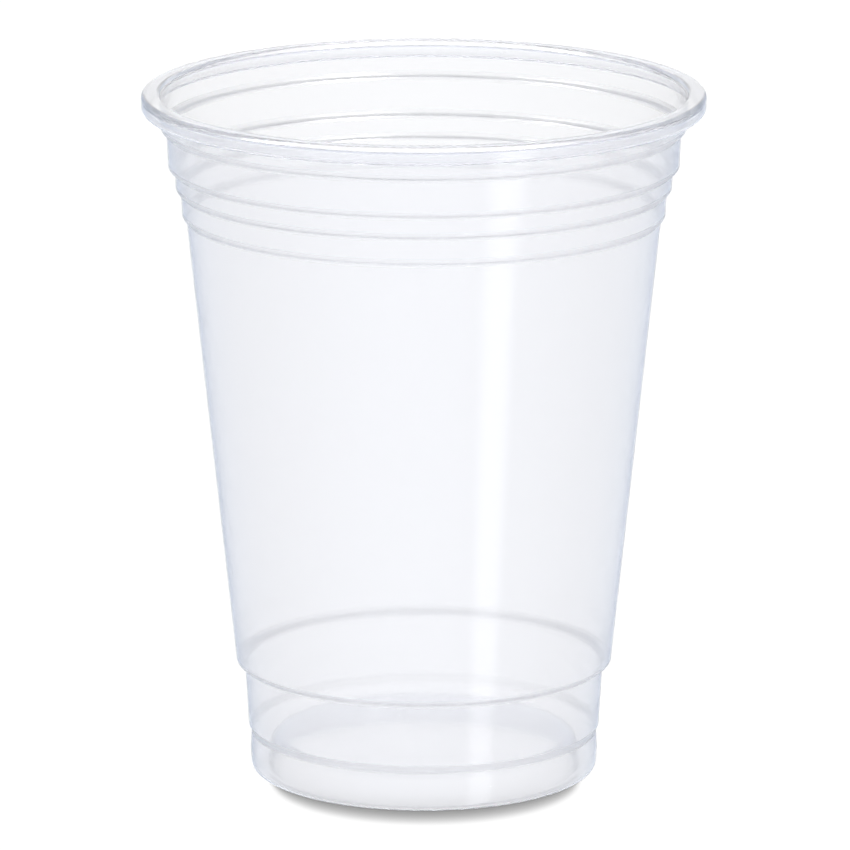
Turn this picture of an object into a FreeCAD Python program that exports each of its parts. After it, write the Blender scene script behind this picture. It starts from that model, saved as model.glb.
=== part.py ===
import FreeCAD, Part
import math
import os

# A clear disposable drinking cup, formed in one piece from one plastic sheet. Millimetres, +Z up.
# The origin is the centre of the foot ring's flat underside. Radii are those of the outside, unless named
# otherwise, and heights are measured from the table.

# Sheet
WALL = 0.3                 # thickness after forming
RIM_WALL = 0.85            # over the top of the roll, where forming hardly stretches the sheet
TOP_RUN = -3               # that run of the section, counted from the free edge

# Overall
HEIGHT = 121.2             # table to the top of the rolled rim
RIM_RADIUS = 49.0          # outside of the rolled rim, over its skirt

# Rolled rim: the sheet turns outwards over the top and curls back under itself
ROLL_WIDTH = 3.05          # outside of the mouth wall, where it meets the roll, to the skirt
ROLL_DEPTH = 3.15          # top of the roll to its lowest edge
LIP_BEND = 0.45            # bend radii, each on the inside of its bend
BROW_BEND = 0.45
CURL_BEND = 0.6
CURL_GAP = 1.1             # free edge of the sheet to the mouth wall

# Grip bands under the rim, each one smaller than the one above, from the top down
BAND_TAPER = 0.05          # radius lost for each millimetre down a band
MOUTH_BAND = 6.4           # top of the cup to the first corner
UPPER_BAND = 6.75          # from corner to corner
MIDDLE_BAND = 3.85
LOWER_BAND = 4.75
FIRST_LEDGE = 0.9          # width of the ledge under each band
SECOND_LEDGE = 1.1
THIRD_LEDGE = 0.85
FOURTH_LEDGE = 0.65
LEDGE_SLOPE = math.radians(12)   # below level
BAND_BEND = 0.25           # where a band turns into its ledge
CORNER_BEND = 0.15         # crisp corner between a ledge and the wall under it

# Tapered body, down to the shoulder on which stacked cups sit
BODY_FOOT_RADIUS = 32.95   # at the shoulder
SHOULDER_HEIGHT = 19.4     # corner under the shoulder
SHOULDER_DEPTH = 1.45      # body foot to the wall under it, in plan
SHOULDER_SLOPE = math.radians(16)
SHOULDER_BEND = 0.35

# Lower wall
LOWER_WALL_LEAN = 0.65     # radius lost from the shoulder down to the foot step
FOOT_STEP_DEPTH = 0.5
FOOT_STEP_SLOPE = math.radians(60)
FOOT_STEP_BEND = 0.5

# Foot ring: the sheet is folded down to the table and back up to the floor
FOOT_HEIGHT = 7.4          # corner over the foot ring
CREST_BULGE = 0.2          # how far the widest line of the foot ring stands out from that corner
CREST_HEIGHT = 3.9
CREST_BEND = 1.5
HEEL_LEAN = 0.2            # radius lost from the widest line down to the table
HEEL_BEND = 1.35
FOLD_WIDTH = 3.35          # outside of the fold, at the table
STAND_BEND = 0.3
RECESS_DRAFT = 0.45        # radius lost up the inside of the fold

# Floor
FLOOR_RECESS = 6.0         # table to the underside of the floor
FLOOR_BEND = 1.5

# Run left straight, of a run that is too short for the bends at its two ends
STRAIGHT_SHARE = 0.1

NODE = "cup"


def step_down(radius, corner, depth, slope, bend):
    """A ledge, from its inner corner up to the foot of the wall above it: two points with their bends."""
    rise = depth * math.tan(slope)
    return [(radius, corner, CORNER_BEND), (radius + depth, corner + rise, bend)]


def base_points():
    """Floor, foot ring, lower wall and shoulder, from the axis out and up to the foot of the tapered body."""
    shoulder = BODY_FOOT_RADIUS - SHOULDER_DEPTH
    foot_step = shoulder - LOWER_WALL_LEAN - FOOT_STEP_DEPTH
    crest = foot_step + CREST_BULGE
    heel = crest - HEEL_LEAN
    stand = heel - FOLD_WIDTH
    return [
        (0.0, FLOOR_RECESS, 0.0),
        (stand - RECESS_DRAFT, FLOOR_RECESS, FLOOR_BEND),
        (stand, 0.0, STAND_BEND),
        (heel, 0.0, HEEL_BEND),
        (crest, CREST_HEIGHT, CREST_BEND),
        *step_down(foot_step, FOOT_HEIGHT, FOOT_STEP_DEPTH, FOOT_STEP_SLOPE, FOOT_STEP_BEND),
        *step_down(shoulder, SHOULDER_HEIGHT, SHOULDER_DEPTH, SHOULDER_SLOPE, SHOULDER_BEND),
    ]


def band_points():
    """Ledges of the grip bands. They are worked out from the mouth down, and returned from the bottom up."""
    radius = RIM_RADIUS - ROLL_WIDTH
    height = HEIGHT
    bands = (
        (MOUTH_BAND, FIRST_LEDGE),
        (UPPER_BAND, SECOND_LEDGE),
        (MIDDLE_BAND, THIRD_LEDGE),
        (LOWER_BAND, FOURTH_LEDGE),
    )
    points = []
    for band, ledge in bands:
        height -= band
        radius -= band * BAND_TAPER + ledge
        points = step_down(radius, height, ledge, LEDGE_SLOPE, BAND_BEND) + points
    return points


def rim_points():
    """The rolled rim, from the mouth wall over the top and down the skirt to the sheet's free edge."""
    mouth = RIM_RADIUS - ROLL_WIDTH
    skirt = RIM_RADIUS - WALL
    top = HEIGHT - RIM_WALL
    curl = HEIGHT - ROLL_DEPTH + WALL
    return [
        (mouth, top, LIP_BEND),
        (skirt, top, BROW_BEND),
        (skirt, curl, CURL_BEND),
        (mouth + CURL_GAP, curl, 0.0),
    ]


def inward(start, end):
    """Unit normal of a straight run of the sheet, towards the inside of the cup."""
    run = (end - start).normalize()
    return FreeCAD.Vector(-run.z, 0, run.x)


def moved_inwards(places):
    """The sheet's inner face: each run of the outer face moved in by its own wall."""
    normals = [inward(start, end) for start, end in zip(places, places[1:])]
    walls = [WALL] * len(normals)
    walls[TOP_RUN] = RIM_WALL
    moved = [places[0] + normals[0] * walls[0]]
    for index, place in enumerate(places[1:-1]):
        before, after = normals[index:index + 2]
        wall_before, wall_after = walls[index:index + 2]
        lean = before.dot(after)
        across = (wall_before - wall_after * lean) / (1 - lean * lean)
        along = (wall_after - wall_before * lean) / (1 - lean * lean)
        moved.append(place + before * across + after * along)
    moved.append(places[-1] + normals[-1] * walls[-1])
    return moved


def turn(before, corner, after):
    """How far the sheet turns at a corner, in radians. It is positive towards the inside of the cup."""
    angle = (corner - before).getAngle(after - corner)
    return angle if inward(before, corner).dot(after - corner) > 0 else -angle


def bend_radii(bends, turns):
    """Radii of the outer and the inner face at each corner: a bend is measured on its tight side."""
    outer = [bend + WALL if angle > 0 else bend for bend, angle in zip(bends, turns)]
    inner = [bend if angle > 0 else bend + WALL for bend, angle in zip(bends, turns)]
    return outer, inner


def fitting_bends(faces, bends, turns):
    """The bends, each made tighter where it would meet the next one on the run between them."""
    shares = [1.0] * len(bends)
    for places, radii in zip(faces, bend_radii(bends, turns)):
        reaches = [radius * math.tan(abs(angle) / 2) for radius, angle in zip(radii, turns)]
        for index, (start, end) in enumerate(zip(places, places[1:])):
            room = (end - start).Length * (1 - STRAIGHT_SHARE)
            share = room / max(reaches[index] + reaches[index + 1], room)
            shares[index] = min(shares[index], share)
            shares[index + 1] = min(shares[index + 1], share)
    return [max((bend + WALL) * share - WALL, 0.0) for bend, share in zip(bends, shares)]


def face_line(places, radii, turns):
    """One face of the sheet: straight runs between the corners, joined by tangent arcs."""
    edges = []
    start = places[0]
    for index in range(1, len(places) - 1):
        before, corner, after = places[index - 1:index + 2]
        into = (before - corner).normalize()
        out = (after - corner).normalize()
        half = abs(turns[index]) / 2
        reach = radii[index] * math.tan(half)
        arc_start = corner + into * reach
        arc_end = corner + out * reach
        edges.append(Part.makeLine(start, arc_start))
        if reach > 0:
            sagitta = radii[index] * (1 / math.cos(half) - 1)
            middle = corner + (into + out).normalize() * sagitta
            edges.append(Part.Arc(arc_start, middle, arc_end).toShape())
        start = arc_end
    edges.append(Part.makeLine(start, places[-1]))
    return edges


def sheet_section(points):
    """The sheet in section: its two faces, joined at the axis and at the free edge."""
    outer = [FreeCAD.Vector(radius, 0, height) for radius, height, _ in points]
    inner = moved_inwards(outer)
    turns = [0.0] + [turn(*corner) for corner in zip(outer, outer[1:], outer[2:])] + [0.0]
    bends = fitting_bends((outer, inner), [bend for _, _, bend in points], turns)
    outer_radii, inner_radii = bend_radii(bends, turns)
    edges = face_line(outer, outer_radii, turns) + face_line(inner, inner_radii, turns)
    edges.append(Part.makeLine(outer[0], inner[0]))
    edges.append(Part.makeLine(outer[-1], inner[-1]))
    return Part.Face(Part.Wire(Part.sortEdges(edges)[0]))


def cup():
    """The whole cup: the section of the sheet, turned about the axis."""
    section = sheet_section(base_points() + band_points() + rim_points())
    return section.revolve(FreeCAD.Vector(0, 0, 0), FreeCAD.Vector(0, 0, 1), 360)


def main():
    os.makedirs("parts", exist_ok=True)
    shape = cup()
    shape.exportStep(f"parts/{NODE}.step")
    print(NODE, shape.ShapeType, "valid", shape.isValid(), "volume", round(shape.Volume, 1))
    print("box", shape.BoundBox)


main()
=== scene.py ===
import math

import bpy
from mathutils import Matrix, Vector


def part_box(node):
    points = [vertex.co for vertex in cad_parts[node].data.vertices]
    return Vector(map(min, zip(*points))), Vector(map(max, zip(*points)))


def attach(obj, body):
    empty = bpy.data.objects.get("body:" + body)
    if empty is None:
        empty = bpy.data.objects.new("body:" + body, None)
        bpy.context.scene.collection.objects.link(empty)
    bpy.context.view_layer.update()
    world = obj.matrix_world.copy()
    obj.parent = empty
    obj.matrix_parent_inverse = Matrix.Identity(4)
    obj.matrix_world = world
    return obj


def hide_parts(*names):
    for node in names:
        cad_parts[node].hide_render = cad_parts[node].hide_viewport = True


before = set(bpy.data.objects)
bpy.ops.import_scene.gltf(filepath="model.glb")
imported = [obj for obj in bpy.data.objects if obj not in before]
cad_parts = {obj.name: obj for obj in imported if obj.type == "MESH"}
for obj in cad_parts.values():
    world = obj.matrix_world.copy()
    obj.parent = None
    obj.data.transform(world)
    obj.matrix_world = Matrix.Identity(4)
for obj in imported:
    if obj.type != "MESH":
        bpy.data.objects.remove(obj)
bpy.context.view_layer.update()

# A clear disposable drinking cup, formed in one piece from one plastic sheet. Metres, +Z up, with the origin
# under the middle of the foot.

# Overall sizes, from the frame
CUP_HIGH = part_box("cup")[1]
RIM_RADIUS = CUP_HIGH[0]
HEIGHT = CUP_HIGH[2]

# Sheet
WALL = 0.0003              # thickness after forming
RIM_WALL = 0.00085         # over the top of the roll
TOP_RUN = -3               # that run of the section, counted from the free edge

# Rolled rim
ROLL_WIDTH = 0.00305       # outside of the mouth wall to the skirt
ROLL_DEPTH = 0.00315       # top of the roll to its lowest edge
LIP_BEND = 0.00045         # bend radii, each on the inside of its bend
BROW_BEND = 0.00045
CURL_BEND = 0.0006
CURL_GAP = 0.0011          # free edge of the sheet to the mouth wall

# Grip bands, from the top down: length of the band and width of the ledge under it
BANDS = ((0.0064, 0.0009), (0.00675, 0.0011), (0.00385, 0.00085), (0.00475, 0.00065))
BAND_TAPER = 0.05          # radius lost for each unit down a band
LEDGE_SLOPE = math.radians(12)
BAND_BEND = 0.00025        # where a band turns into its ledge
CORNER_BEND = 0.00015      # crisp corner between a ledge and the wall under it

# Tapered body and shoulder
BODY_FOOT_RADIUS = 0.03295
SHOULDER_HEIGHT = 0.0194
SHOULDER_DEPTH = 0.00145
SHOULDER_SLOPE = math.radians(16)
SHOULDER_BEND = 0.00035

# Lower wall and foot step
LOWER_WALL_LEAN = 0.00065
FOOT_STEP_DEPTH = 0.0005
FOOT_STEP_SLOPE = math.radians(60)
FOOT_STEP_BEND = 0.0005

# Foot ring and floor
FOOT_HEIGHT = 0.0074
CREST_BULGE = 0.0002
CREST_HEIGHT = 0.0039
CREST_BEND = 0.0015
HEEL_LEAN = 0.0002
HEEL_BEND = 0.00135
FOLD_WIDTH = 0.00335
STAND_BEND = 0.0003
RECESS_DRAFT = 0.00045
FLOOR_RECESS = 0.0060
FLOOR_BEND = 0.0015

# How finely the cup is meshed
TURN_STEPS = 360
ARC_STEP = math.radians(20)
ARC_LEAST = 2              # steps of the smallest bends
RUN_STEP = 0.040           # points on a long straight run are about this far apart
RUN_END = 0.00015          # a run has points this close to its two ends, which keep its normals true
SHORT_RUN = 0.0006         # a run shorter than this has no such points
TURN_RADIUS = 0.060        # helper circle on which the section is carried round
SEAM = 0.000002            # points nearer than this at the axis become one

# Plastic
PLASTIC_TINT = (0.958, 0.961, 0.974, 1.0)
PLASTIC_IOR = 1.49
PLASTIC_SMOOTH = 0.07      # roughness, which a faint mottle varies from this to the next
PLASTIC_DULL = 0.10
MOTTLE_SCALE = 150.0
BEND_DULL = 0.22           # roughness added at the ledges, where the sheet is bent tightly
BEND_BELOW = 0.0003        # it reaches this far below a ledge's inner corner
BEND_ABOVE = 0.0010        # and this far above it
BEND_SOFT = 0.0003         # and then fades out over this height
HAZE_TONE = (0.93, 0.95, 1.0, 1.0)
HAZE_SHARE = 0.06
HAZE_THROUGH = 0.41        # share of the haze that glows from light on its far side
WAVE_SCALE = (120.0, 120.0, 18.0)   # waves of the drawn sheet for each metre, long ones up the wall
WAVE_DETAIL = 1.0
WAVE_HEIGHT = 0.000005
SHADE_RADIUS = 0.0288      # the foot's fold stops the lamp inside this radius, but not outside the next
CLEAR_RADIUS = 0.0291
SHADE_LOW = 0.0003         # and below this height, but not above the next
SHADE_HIGH = 0.0050

# Floor
FLOOR_SIZE = 12.0
FLOOR_WHITE = (0.90, 0.90, 0.90, 1.0)
FLOOR_LIFT = 0.15          # plain white added to the floor where the camera sees it directly
FLOOR_SEEN_CLEAR = 0.95    # share of plain white in the floor seen through the cup

# Lights
WHITE = (1.0, 1.0, 1.0, 1.0)
PLAIN_LEVEL = 0.22         # share of the studio's white that lights the floor; the camera sees all of it
BACK_LAMP_LEVEL = 6.4
BACK_LAMP_SPREAD = math.radians(7.5)
BACK_LAMP_HEIGHT = math.radians(23)   # above level
BACK_LAMP_TURN = math.radians(1.5)    # off the straight line over the cup

# Studio seen through the bends of the sheet: over white up to the backdrop's edge, and a cool grey above it
HORIZON_TONE = (1.15, 1.15, 1.15, 1.0)
SKY_TONE = (0.72, 0.75, 0.86, 1.0)
SKY_STARTS = math.radians(20)
SKY_FULL = math.radians(25)

# Studio that the gloss shows, from the front round to the back
FRONT_TONE = (0.28, 0.28, 0.42, 1.0)
SIDE_TONE = (0.66, 0.76, 0.96, 1.0)
SIDE_STARTS = math.radians(75)
SIDE_FULL = math.radians(140)

# Patches of the studio, in degrees: from and to bearing, softness, from and to rise, softness; and strength.
# Whites are the same on both sides: the floor, an overhead light and the backdrop.
WHITES = (
    (0, 180, 1, -90, -55, 20, 0.25),
    (0, 180, 1, 55, 90, 15, 0.7),
    (174, 180, 14, -40, 45, 8, 0.95),
)
LIGHTS = (
    (35, 41, 9, -50, -10, 7, 1.9),
    (30, 46, 8, 12, 50, 8, 45.0),
    (-76, -62, 6, 12, 50, 8, 30.0),
)

# Camera, fitted to the photograph
CAMERA_DISTANCE = 1.450
CAMERA_HEIGHT = 0.4112
CAMERA_PITCH = math.radians(13.55)
CAMERA_SIDE = 0.0002
SENSOR = 36.0
LENS = 361.3
CAMERA_NEAR = 0.05
CAMERA_FAR = 50.0

# Light has to pass every wall of the cup, and of the roll
BOUNCES = 64


def step_down(radius, corner, depth, slope, bend):
    """A ledge: its inner corner, and the foot of the wall above it, each as radius, height and bend."""
    return [(radius, corner, CORNER_BEND), (radius + depth, corner + depth * math.tan(slope), bend)]


def base_corners():
    """Floor, foot ring, lower wall and shoulder, from the axis out and up."""
    shoulder = BODY_FOOT_RADIUS - SHOULDER_DEPTH
    foot_step = shoulder - LOWER_WALL_LEAN - FOOT_STEP_DEPTH
    crest = foot_step + CREST_BULGE
    heel = crest - HEEL_LEAN
    stand = heel - FOLD_WIDTH
    return [
        (0.0, FLOOR_RECESS, 0.0),
        (stand - RECESS_DRAFT, FLOOR_RECESS, FLOOR_BEND),
        (stand, 0.0, STAND_BEND),
        (heel, 0.0, HEEL_BEND),
        (crest, CREST_HEIGHT, CREST_BEND),
        *step_down(foot_step, FOOT_HEIGHT, FOOT_STEP_DEPTH, FOOT_STEP_SLOPE, FOOT_STEP_BEND),
        *step_down(shoulder, SHOULDER_HEIGHT, SHOULDER_DEPTH, SHOULDER_SLOPE, SHOULDER_BEND),
    ]


def band_corners():
    """Ledges of the grip bands, from the bottom up."""
    radius = RIM_RADIUS - ROLL_WIDTH
    height = HEIGHT
    corners = []
    for band, ledge in BANDS:
        height -= band
        radius -= band * BAND_TAPER + ledge
        corners = step_down(radius, height, ledge, LEDGE_SLOPE, BAND_BEND) + corners
    return corners


def rim_corners():
    """The rolled rim, up the mouth wall, over the top and round to the free edge of the sheet."""
    mouth = RIM_RADIUS - ROLL_WIDTH
    skirt = RIM_RADIUS - WALL
    curl = HEIGHT - ROLL_DEPTH + WALL
    return [
        (mouth, HEIGHT - RIM_WALL, LIP_BEND),
        (skirt, HEIGHT - RIM_WALL, BROW_BEND),
        (skirt, curl, CURL_BEND),
        (mouth + CURL_GAP, curl, 0.0),
    ]


def inward(start, end):
    """Unit normal of a run, towards the inside of the cup."""
    run = (end - start).normalized()
    return Vector((-run.y, run.x))


def inner_face(places):
    """The corners of the sheet's inner face, each run one wall in from that of the outer face."""
    normals = [inward(start, end) for start, end in zip(places, places[1:])]
    walls = [WALL] * len(normals)
    walls[TOP_RUN] = RIM_WALL
    moved = [places[0] + normals[0] * walls[0]]
    for index, place in enumerate(places[1:-1]):
        before, after = normals[index:index + 2]
        wall_before, wall_after = walls[index:index + 2]
        lean = before.dot(after)
        move = before * (wall_before - wall_after * lean) + after * (wall_after - wall_before * lean)
        moved.append(place + move / (1 - lean * lean))
    moved.append(places[-1] + normals[-1] * walls[-1])
    return moved


def run_points(start, end):
    """Points along a straight run, without its end: near both ends, and evenly between."""
    length = (end - start).length
    stations = [0.0]
    if length > SHORT_RUN:
        inner = length - 2 * RUN_END
        count = max(round(inner / RUN_STEP), 1)
        stations += [RUN_END + inner * k / count for k in range(count + 1)]
    return [start.lerp(end, station / length) for station in stations]


def arc_points(corner, into, out, radius, angle):
    """Points along the tangent arc of a corner, with both its ends."""
    half = abs(angle) / 2
    start = corner + into * (radius * math.tan(half))
    centre = corner + (into + out).normalized() * (radius / math.cos(half))
    spoke = start - centre
    count = max(math.ceil(abs(angle) / ARC_STEP), ARC_LEAST)
    points = []
    for k in range(count + 1):
        swing = angle * k / count
        turned = Vector((
            spoke.x * math.cos(swing) - spoke.y * math.sin(swing),
            spoke.x * math.sin(swing) + spoke.y * math.cos(swing),
        ))
        points.append(centre + turned)
    return points


def face_points(places, bends, inner):
    """Points along one face of the sheet. A bend is measured on its tight side."""
    points = []
    start = places[0]
    for before, corner, after, bend in zip(places, places[1:], places[2:], bends[1:]):
        into = (before - corner).normalized()
        out = (after - corner).normalized()
        side = inward(before, corner).dot(out)
        angle = math.copysign(math.pi - into.angle(out), side)
        tight = (angle > 0) == inner
        radius = bend if tight else bend + WALL
        arc = arc_points(corner, into, out, radius, angle)
        points += run_points(start, arc[0]) + arc[:-1]
        start = arc[-1]
    points += run_points(start, places[-1]) + [places[-1]]
    return points


def section_points():
    """The outline of the sheet in section, from the axis up the inner face and back down the outer one."""
    corners = base_corners() + band_corners() + rim_corners()
    outer = [Vector((radius, height)) for radius, height, _ in corners]
    bends = [bend for _, _, bend in corners]
    up = face_points(inner_face(outer), bends, True)
    down = face_points(outer, bends, False)[::-1]
    return up + down


def section_object():
    """The section as a poly curve from axis to axis, as it is carried round the helper circle."""
    points = section_points()
    curve = bpy.data.curves.new("cup_section", "CURVE")
    curve.dimensions = "2D"
    spline = curve.splines.new("POLY")
    spline.points.add(len(points) - 1)
    for spot, point in zip(spline.points, points):
        spot.co = (point.x - TURN_RADIUS, -point.y, 0.0, 1.0)
    made = bpy.data.objects.new("cup_section", curve)
    bpy.context.scene.collection.objects.link(made)
    return made


def turning_tree():
    """Geometry nodes that carry a section round the Z axis and close it at the axis."""
    tree = bpy.data.node_groups.new("turn_section", "GeometryNodeTree")
    sizes = (
        ("Section", "NodeSocketObject"),
        ("Turn Radius", "NodeSocketFloat"),
        ("Turn Steps", "NodeSocketInt"),
        ("Seam", "NodeSocketFloat"),
        ("Plastic", "NodeSocketMaterial"),
    )
    for name, kind in sizes:
        tree.interface.new_socket(name, in_out="INPUT", socket_type=kind)
    tree.interface.new_socket("Geometry", in_out="OUTPUT", socket_type="NodeSocketGeometry")
    nodes, links = tree.nodes, tree.links
    given = nodes.new("NodeGroupInput")
    section = nodes.new("GeometryNodeObjectInfo")
    circle = nodes.new("GeometryNodeCurvePrimitiveCircle")
    sweep = nodes.new("GeometryNodeCurveToMesh")
    merge = nodes.new("GeometryNodeMergeByDistance")
    smooth = nodes.new("GeometryNodeSetShadeSmooth")
    real = nodes.new("GeometryNodeRealizeInstances")
    finish = nodes.new("GeometryNodeSetMaterial")
    out = nodes.new("NodeGroupOutput")
    links.new(given.outputs["Section"], section.inputs["Object"])
    links.new(given.outputs["Turn Radius"], circle.inputs["Radius"])
    links.new(given.outputs["Turn Steps"], circle.inputs["Resolution"])
    links.new(circle.outputs["Curve"], sweep.inputs["Curve"])
    links.new(section.outputs["Geometry"], sweep.inputs["Profile Curve"])
    links.new(sweep.outputs["Mesh"], merge.inputs["Geometry"])
    links.new(given.outputs["Seam"], merge.inputs["Distance"])
    links.new(merge.outputs["Geometry"], smooth.inputs["Geometry"])
    links.new(smooth.outputs["Geometry"], real.inputs["Geometry"])
    links.new(real.outputs["Geometry"], finish.inputs["Geometry"])
    links.new(given.outputs["Plastic"], finish.inputs["Material"])
    links.new(finish.outputs["Geometry"], out.inputs["Geometry"])
    return tree


def set_input(modifier, name, value):
    """Sets a modifier's input by the identifier of its socket."""
    for item in modifier.node_group.interface.items_tree:
        if item.name == name and item.in_out == "INPUT":
            modifier[item.identifier] = value
            return
    raise KeyError(name)


def turned_cup(plastic):
    """The cup's mesh, turned from its section by the geometry nodes."""
    section = section_object()
    blank = bpy.data.meshes.new("cup_blank")
    carrier = bpy.data.objects.new("cup_carrier", blank)
    bpy.context.scene.collection.objects.link(carrier)
    modifier = carrier.modifiers.new("turn", "NODES")
    modifier.node_group = turning_tree()
    set_input(modifier, "Section", section)
    set_input(modifier, "Turn Radius", TURN_RADIUS)
    set_input(modifier, "Turn Steps", TURN_STEPS)
    set_input(modifier, "Seam", SEAM)
    set_input(modifier, "Plastic", plastic)
    seen = carrier.evaluated_get(bpy.context.evaluated_depsgraph_get())
    mesh = bpy.data.meshes.new_from_object(seen)
    bpy.data.objects.remove(carrier)
    bpy.data.objects.remove(section)
    cup = bpy.data.objects.new("clear_cup", mesh)
    bpy.context.scene.collection.objects.link(cup)
    return cup


def feed(tree, socket, value):
    """Gives an input its value: a plain one, or what another node puts out."""
    if isinstance(value, bpy.types.NodeSocket):
        tree.links.new(value, socket)
    else:
        socket.default_value = value


def maths(tree, operation, *values):
    """What a Math node makes of its values."""
    node = tree.nodes.new("ShaderNodeMath")
    node.operation = operation
    for socket, value in zip(node.inputs, values):
        feed(tree, socket, value)
    return node.outputs["Value"]


def ramp(tree, value, start, end, first, last, shape="LINEAR"):
    """What a value is mapped to: first up to start, last from end on, and between them in between."""
    node = tree.nodes.new("ShaderNodeMapRange")
    node.interpolation_type = shape
    feed(tree, node.inputs["Value"], value)
    node.inputs["From Min"].default_value = start
    node.inputs["From Max"].default_value = end
    node.inputs["To Min"].default_value = first
    node.inputs["To Max"].default_value = last
    return node.outputs["Result"]


def soft_mask(tree, value, low, high, soft):
    """A mask that is 1 where a value lies from low to high, and falls to 0 over soft on both sides."""
    half = (high - low) / 2
    off = maths(tree, "ABSOLUTE", maths(tree, "SUBTRACT", value, (low + high) / 2))
    return ramp(tree, off, half, half + soft, 1.0, 0.0, "SMOOTHSTEP")


def mixed_colour(tree, share, first, second):
    """A colour that goes from the first to the second as the share goes from 0 to 1."""
    node = tree.nodes.new("ShaderNodeMix")
    node.data_type = "RGBA"
    feed(tree, node.inputs["Factor"], share)
    feed(tree, node.inputs["A"], first)
    feed(tree, node.inputs["B"], second)
    return node.outputs["Result"]


def mixed_shader(tree, share, first, second):
    """A shader that goes from the first to the second as the share goes from 0 to 1."""
    node = tree.nodes.new("ShaderNodeMixShader")
    feed(tree, node.inputs["Fac"], share)
    tree.links.new(first, node.inputs[1])
    tree.links.new(second, node.inputs[2])
    return node.outputs["Shader"]


def coloured_shader(tree, kind, colour):
    """A shader node that needs only its colour."""
    node = tree.nodes.new(kind)
    feed(tree, node.inputs["Color"], colour)
    return node.outputs[0]


def bare_material(name):
    """A new material that holds only its output node, and the surface input of that node."""
    material = bpy.data.materials.new(name)
    material.use_nodes = True
    material.node_tree.nodes.clear()
    out = material.node_tree.nodes.new("ShaderNodeOutputMaterial")
    return material, out.inputs["Surface"]


def ledge_heights():
    """Heights of the inner corners of the foot step, the shoulder and the bands' ledges."""
    heights = [FOOT_HEIGHT, SHOULDER_HEIGHT]
    height = HEIGHT
    for band, _ in BANDS:
        height -= band
        heights.append(height)
    return heights


def bend_share(tree, height):
    """A mask that is 1 over the foot step, the shoulder and the ledges, and 0 elsewhere."""
    share = 0.0
    for corner in ledge_heights():
        mask = soft_mask(tree, height, corner - BEND_BELOW, corner + BEND_ABOVE, BEND_SOFT)
        share = maths(tree, "MAXIMUM", mask, share)
    return share


def sheet_surface(tree, place, glass):
    """The sheet's slow waves, drawn out up the wall, the faint mottle of its gloss, and its duller bends."""
    nodes, links = tree.nodes, tree.links
    drawn = nodes.new("ShaderNodeVectorMath")
    drawn.operation = "MULTIPLY"
    drawn.inputs[1].default_value = WAVE_SCALE
    waves = nodes.new("ShaderNodeTexNoise")
    waves.inputs["Scale"].default_value = 1.0
    waves.inputs["Detail"].default_value = WAVE_DETAIL
    bump = nodes.new("ShaderNodeBump")
    bump.inputs["Distance"].default_value = WAVE_HEIGHT
    mottle = nodes.new("ShaderNodeTexNoise")
    mottle.inputs["Scale"].default_value = MOTTLE_SCALE
    spot = nodes.new("ShaderNodeSeparateXYZ")
    links.new(place, drawn.inputs[0])
    links.new(drawn.outputs["Vector"], waves.inputs["Vector"])
    links.new(waves.outputs["Fac"], bump.inputs["Height"])
    links.new(place, mottle.inputs["Vector"])
    links.new(place, spot.inputs["Vector"])
    rough = ramp(tree, mottle.outputs["Fac"], 0.0, 1.0, PLASTIC_SMOOTH, PLASTIC_DULL)
    dull = maths(tree, "MULTIPLY_ADD", bend_share(tree, spot.outputs["Z"]), BEND_DULL, rough)
    links.new(dull, glass.inputs["Roughness"])
    links.new(bump.outputs["Normal"], glass.inputs["Normal"])


def lamp_share(tree, place):
    """How much of the lamp's light goes through: all of it, but less and less down the foot's fold."""
    nodes, links = tree.nodes, tree.links
    spot = nodes.new("ShaderNodeSeparateXYZ")
    level = nodes.new("ShaderNodeCombineXYZ")
    radius = nodes.new("ShaderNodeVectorMath")
    radius.operation = "LENGTH"
    links.new(place, spot.inputs["Vector"])
    links.new(spot.outputs["X"], level.inputs["X"])
    links.new(spot.outputs["Y"], level.inputs["Y"])
    links.new(level.outputs["Vector"], radius.inputs[0])
    outwards = ramp(tree, radius.outputs["Value"], SHADE_RADIUS, CLEAR_RADIUS, 1.0, 0.0)
    upwards = ramp(tree, spot.outputs["Z"], SHADE_LOW, SHADE_HIGH, 1.0, 0.0)
    return maths(tree, "SUBTRACT", 1.0, maths(tree, "MULTIPLY", outwards, upwards))


def clear_plastic():
    """Glossy clear plastic with a faint blue tint and a little haze. Lamps shine straight through it."""
    material, surface = bare_material("clear_plastic")
    tree = material.node_tree
    place = tree.nodes.new("ShaderNodeTexCoord").outputs["Object"]
    path = tree.nodes.new("ShaderNodeLightPath")
    glass = tree.nodes.new("ShaderNodeBsdfPrincipled")
    glass.inputs["Base Color"].default_value = PLASTIC_TINT
    glass.inputs["IOR"].default_value = PLASTIC_IOR
    glass.inputs["Transmission Weight"].default_value = 1.0
    sheet_surface(tree, place, glass)
    haze_near = coloured_shader(tree, "ShaderNodeBsdfDiffuse", HAZE_TONE)
    haze_far = coloured_shader(tree, "ShaderNodeBsdfTranslucent", HAZE_TONE)
    haze = mixed_shader(tree, HAZE_THROUGH, haze_near, haze_far)
    sheet = mixed_shader(tree, HAZE_SHARE, glass.outputs["BSDF"], haze)
    through = coloured_shader(tree, "ShaderNodeBsdfTransparent", lamp_share(tree, place))
    passing = maths(tree, "MAXIMUM", path.outputs["Is Shadow Ray"], path.outputs["Is Diffuse Ray"])
    tree.links.new(mixed_shader(tree, passing, sheet, through), surface)
    return material


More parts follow.
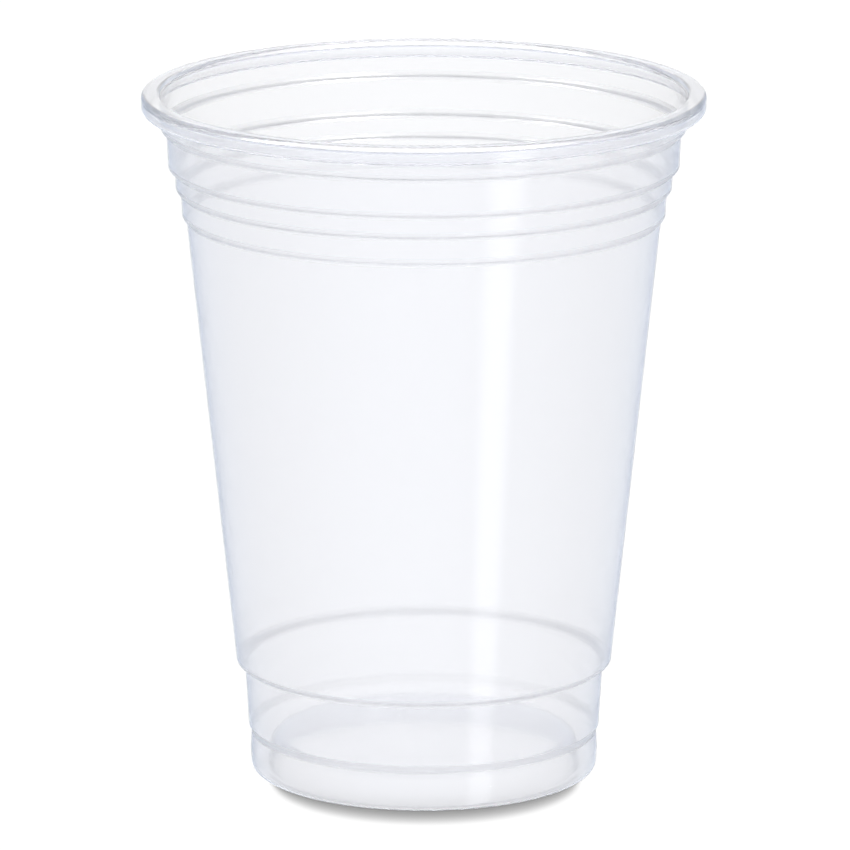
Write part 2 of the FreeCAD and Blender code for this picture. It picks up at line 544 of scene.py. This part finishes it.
def floor_white():
    """Plain white floor. It keeps the cup's shadow, but is nearly full white when seen through the cup."""
    material, surface = bare_material("floor_white")
    tree = material.node_tree
    path = tree.nodes.new("ShaderNodeLightPath")
    matt = coloured_shader(tree, "ShaderNodeBsdfDiffuse", FLOOR_WHITE)
    lift = tree.nodes.new("ShaderNodeEmission")
    lifted = tree.nodes.new("ShaderNodeAddShader")
    clear = coloured_shader(tree, "ShaderNodeEmission", WHITE)
    amount = maths(tree, "MULTIPLY", path.outputs["Is Camera Ray"], FLOOR_LIFT)
    share = maths(tree, "MULTIPLY", path.outputs["Is Transmission Ray"], FLOOR_SEEN_CLEAR)
    tree.links.new(amount, lift.inputs["Strength"])
    tree.links.new(matt, lifted.inputs[0])
    tree.links.new(lift.outputs["Emission"], lifted.inputs[1])
    tree.links.new(mixed_shader(tree, share, lifted.outputs["Shader"], clear), surface)
    return material


def studio_floor():
    """The white floor that the cup stands on."""
    mesh = bpy.data.meshes.new("studio_floor")
    half = FLOOR_SIZE / 2
    corners = [(-half, -half, 0), (half, -half, 0), (half, half, 0), (-half, half, 0)]
    mesh.from_pydata(corners, [], [(0, 1, 2, 3)])
    mesh.materials.append(floor_white())
    floor = bpy.data.objects.new("studio_floor", mesh)
    floor.visible_glossy = False
    bpy.context.scene.collection.objects.link(floor)


def back_lamp():
    """A lamp behind and above the cup, which throws the foot's short shadow forwards. It makes no glints."""
    data = bpy.data.lights.new("back_lamp", "SUN")
    data.energy = BACK_LAMP_LEVEL
    data.angle = BACK_LAMP_SPREAD
    lamp = bpy.data.objects.new("back_lamp", data)
    lamp.rotation_euler = (-(math.pi / 2 - BACK_LAMP_HEIGHT), 0.0, BACK_LAMP_TURN)
    lamp.visible_glossy = False
    lamp.visible_transmission = False
    bpy.context.scene.collection.objects.link(lamp)


def ray_angles(tree):
    """Where a ray heads: its bearing from the front, the same without its side, and its rise."""
    way = tree.nodes.new("ShaderNodeTexCoord")
    split = tree.nodes.new("ShaderNodeSeparateXYZ")
    tree.links.new(way.outputs["Generated"], split.inputs["Vector"])
    forward = maths(tree, "MULTIPLY", split.outputs["Y"], -1.0)
    bearing = maths(tree, "ARCTAN2", split.outputs["X"], forward)
    around = maths(tree, "ABSOLUTE", bearing)
    rise = maths(tree, "ARCSINE", split.outputs["Z"])
    return bearing, around, rise


def patches(tree, across, rise, rows):
    """How bright the studio's patches are, added up."""
    total = 0.0
    for left, right, side_soft, low, high, rise_soft, strength in rows:
        sideways = soft_mask(tree, across, math.radians(left), math.radians(right), math.radians(side_soft))
        upwards = soft_mask(tree, rise, math.radians(low), math.radians(high), math.radians(rise_soft))
        both = maths(tree, "MULTIPLY", sideways, upwards)
        total = maths(tree, "MULTIPLY_ADD", both, strength, total)
    return total


def studio_gloss(tree, bearing, around, rise):
    """Colour of the studio that the gloss shows: grey-blue, paler towards the back, with soft lights."""
    side = ramp(tree, around, SIDE_STARTS, SIDE_FULL, 0.0, 1.0, "SMOOTHSTEP")
    tone = mixed_colour(tree, side, FRONT_TONE, SIDE_TONE)
    whitened = mixed_colour(tree, patches(tree, around, rise, WHITES), tone, WHITE)
    lit = tree.nodes.new("ShaderNodeVectorMath")
    lit.operation = "ADD"
    tree.links.new(whitened, lit.inputs[0])
    tree.links.new(patches(tree, bearing, rise, LIGHTS), lit.inputs[1])
    return lit.outputs["Vector"]


def studio_sky(tree, rise):
    """Colour of the studio through the sheet: bright white up to the backdrop's edge, cool grey above."""
    above = ramp(tree, rise, SKY_STARTS, SKY_FULL, 0.0, 1.0, "SMOOTHSTEP")
    return mixed_colour(tree, above, HORIZON_TONE, SKY_TONE)


def studio_world():
    """White behind the cup, a grey-blue studio in its gloss, and a low plain light on the floor."""
    world = bpy.data.worlds.new("studio")
    bpy.context.scene.world = world
    world.use_nodes = True
    tree = world.node_tree
    tree.nodes.clear()
    out = tree.nodes.new("ShaderNodeOutputWorld")
    path = tree.nodes.new("ShaderNodeLightPath")
    bearing, around, rise = ray_angles(tree)
    plain = tree.nodes.new("ShaderNodeBackground")
    plain.inputs["Color"].default_value = WHITE
    level = ramp(tree, path.outputs["Is Camera Ray"], 0.0, 1.0, PLAIN_LEVEL, 1.0)
    tree.links.new(level, plain.inputs["Strength"])
    gloss = coloured_shader(tree, "ShaderNodeBackground", studio_gloss(tree, bearing, around, rise))
    sky = coloured_shader(tree, "ShaderNodeBackground", studio_sky(tree, rise))
    seen = mixed_shader(tree, path.outputs["Is Glossy Ray"], plain.outputs["Background"], gloss)
    seen = mixed_shader(tree, path.outputs["Is Transmission Ray"], seen, sky)
    tree.links.new(seen, out.inputs["Surface"])


def camera():
    """The camera at the photograph's place."""
    data = bpy.data.cameras.new("camera")
    data.sensor_width = SENSOR
    data.lens = LENS
    data.clip_start = CAMERA_NEAR
    data.clip_end = CAMERA_FAR
    made = bpy.data.objects.new("camera", data)
    made.location = (CAMERA_SIDE, -CAMERA_DISTANCE, CAMERA_HEIGHT)
    made.rotation_euler = (math.pi / 2 - CAMERA_PITCH, 0.0, 0.0)
    bpy.context.scene.collection.objects.link(made)
    bpy.context.scene.camera = made


def bounces():
    """Enough bounces for light to pass every wall of the cup."""
    cycles = bpy.context.scene.cycles
    cycles.max_bounces = BOUNCES
    cycles.transmission_bounces = BOUNCES
    cycles.glossy_bounces = BOUNCES
    cycles.transparent_max_bounces = BOUNCES


bpy.context.scene.view_settings.view_transform = "Standard"
camera()
bounces()
studio_world()
studio_floor()
back_lamp()
cup = turned_cup(clear_plastic())
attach(cup, "root")
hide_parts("cup")
